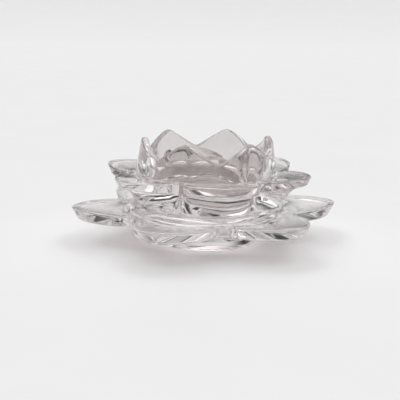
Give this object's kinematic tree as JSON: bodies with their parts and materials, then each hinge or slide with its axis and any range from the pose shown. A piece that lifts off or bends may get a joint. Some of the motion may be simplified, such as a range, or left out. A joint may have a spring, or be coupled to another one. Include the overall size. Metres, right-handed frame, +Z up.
{
  "type": "lotus tea light holder",
  "caption": "Clear pressed-glass lotus flower holder: a petalled dish on a round foot carries a petalled bowl whose pointed crown rings the well for a tea light.",
  "frame": {"origin": "centre of the foot, on the table", "axes": "+Z up through the candle well, +X along one petal of the dish"},
  "size_m": [0.14, 0.1238, 0.054],
  "materials": {
    "dish_glass": "fire-polished pressed soda-lime glass, faintly warm grey in the thick",
    "bowl_glass": "fire-polished pressed soda-lime glass, faintly warm grey in the thick",
    "clear_adhesive": "clear cured adhesive with a few trapped bubbles"
  },
  "bodies": {
    "root": {"petal_dish": "dish_glass", "bond_film": "clear_adhesive", "petal_bowl": "bowl_glass"}
  },
  "joints": []
}
